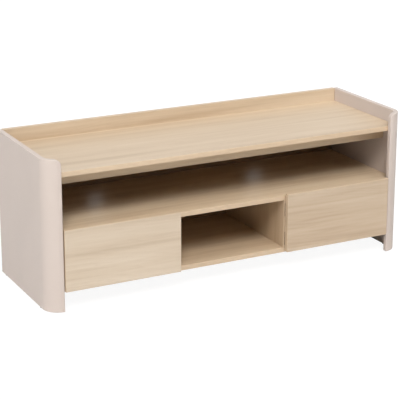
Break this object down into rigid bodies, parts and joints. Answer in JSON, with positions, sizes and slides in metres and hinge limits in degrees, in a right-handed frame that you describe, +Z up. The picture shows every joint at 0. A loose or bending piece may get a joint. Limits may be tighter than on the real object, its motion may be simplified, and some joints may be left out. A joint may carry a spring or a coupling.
{
  "type": "tv stand with doors",
  "caption": "Low wide television stand with curled painted side panels, an open media compartment, an open centre niche and push-to-open cupboard doors beside it.",
  "frame": {"origin": "centre of the footprint at floor level", "axes": "+X along the stand's width to the right as seen from the front, +Y towards the back, +Z up"},
  "size_m": [1.2, 0.3952, 0.455],
  "materials": {
    "oak_effect": "matt oak-effect foil with a fine grain",
    "greige_paint": "satin painted board",
    "hardboard": "matt printed hardboard",
    "steel": "zinc-plated",
    "grey_plastic": "moulded",
    "white_plastic": "moulded",
    "clear_rubber": "clear soft pads",
    "dark_glide": "dark nylon"
  },
  "bodies": {
    "carcass": {"top_board": "oak_effect", "back_upstand": "oak_effect", "front_rail": "oak_effect", "middle_shelf": "oak_effect", "bottom_panel": "oak_effect", "left_divider": "oak_effect", "right_divider": "oak_effect", "left_side_panel": "greige_paint", "right_side_panel": "greige_paint", "upper_back_panel": "hardboard", "lower_back_panel": "hardboard", "left_lower_hinge_frame_leaf": "steel", "left_lower_hinge_pin": "steel", "left_lower_bumper": "clear_rubber", "left_upper_hinge_frame_leaf": "steel", "left_upper_hinge_pin": "steel", "left_upper_bumper": "clear_rubber", "left_latch_housing": "grey_plastic", "left_front_glide": "dark_glide", "left_front_top_bracket": "steel", "left_front_shelf_bracket": "steel", "left_rear_glide": "dark_glide", "left_rear_top_bracket": "steel", "left_rear_shelf_bracket": "steel", "right_lower_hinge_frame_leaf": "steel", "right_lower_hinge_pin": "steel", "right_lower_bumper": "clear_rubber", "right_upper_hinge_frame_leaf": "steel", "right_upper_hinge_pin": "steel", "right_upper_bumper": "clear_rubber", "right_latch_housing": "grey_plastic", "right_front_glide": "dark_glide", "right_front_top_bracket": "steel", "right_front_shelf_bracket": "steel", "right_rear_glide": "dark_glide", "right_rear_top_bracket": "steel", "right_rear_shelf_bracket": "steel"},
    "left_door_leaf": {"left_door": "oak_effect", "left_strike_plate": "steel", "left_lower_hinge_door_leaf": "steel", "left_upper_hinge_door_leaf": "steel"},
    "left_plunger": {"left_latch_plunger": "white_plastic"},
    "right_door_leaf": {"right_door": "oak_effect", "right_strike_plate": "steel", "right_lower_hinge_door_leaf": "steel", "right_upper_hinge_door_leaf": "steel"},
    "right_plunger": {"right_latch_plunger": "white_plastic"}
  },
  "joints": [
    {"name": "left_door_hinge", "type": "hinge", "parent": "carcass", "child": "left_door_leaf", "pos_m": [-0.1812, -0.18115, 0.15], "axis": [0, 0, 1], "range_deg": [0, 90]},
    {"name": "right_door_hinge", "type": "hinge", "parent": "carcass", "child": "right_door_leaf", "pos_m": [0.1812, -0.18115, 0.15], "axis": [0, 0, -1], "range_deg": [0, 90]},
    {"name": "left_plunger_slide", "type": "slide", "parent": "carcass", "child": "left_plunger", "axis": [0, -1, 0], "range_m": [0, 0.01]},
    {"name": "right_plunger_slide", "type": "slide", "parent": "carcass", "child": "right_plunger", "axis": [0, -1, 0], "range_m": [0, 0.01]}
  ],
  "couplings": [
    {"joint": "left_plunger_slide", "follows": "left_door_hinge", "m_per_rad": 0.0063},
    {"joint": "right_plunger_slide", "follows": "right_door_hinge", "m_per_rad": 0.0063}
  ]
}
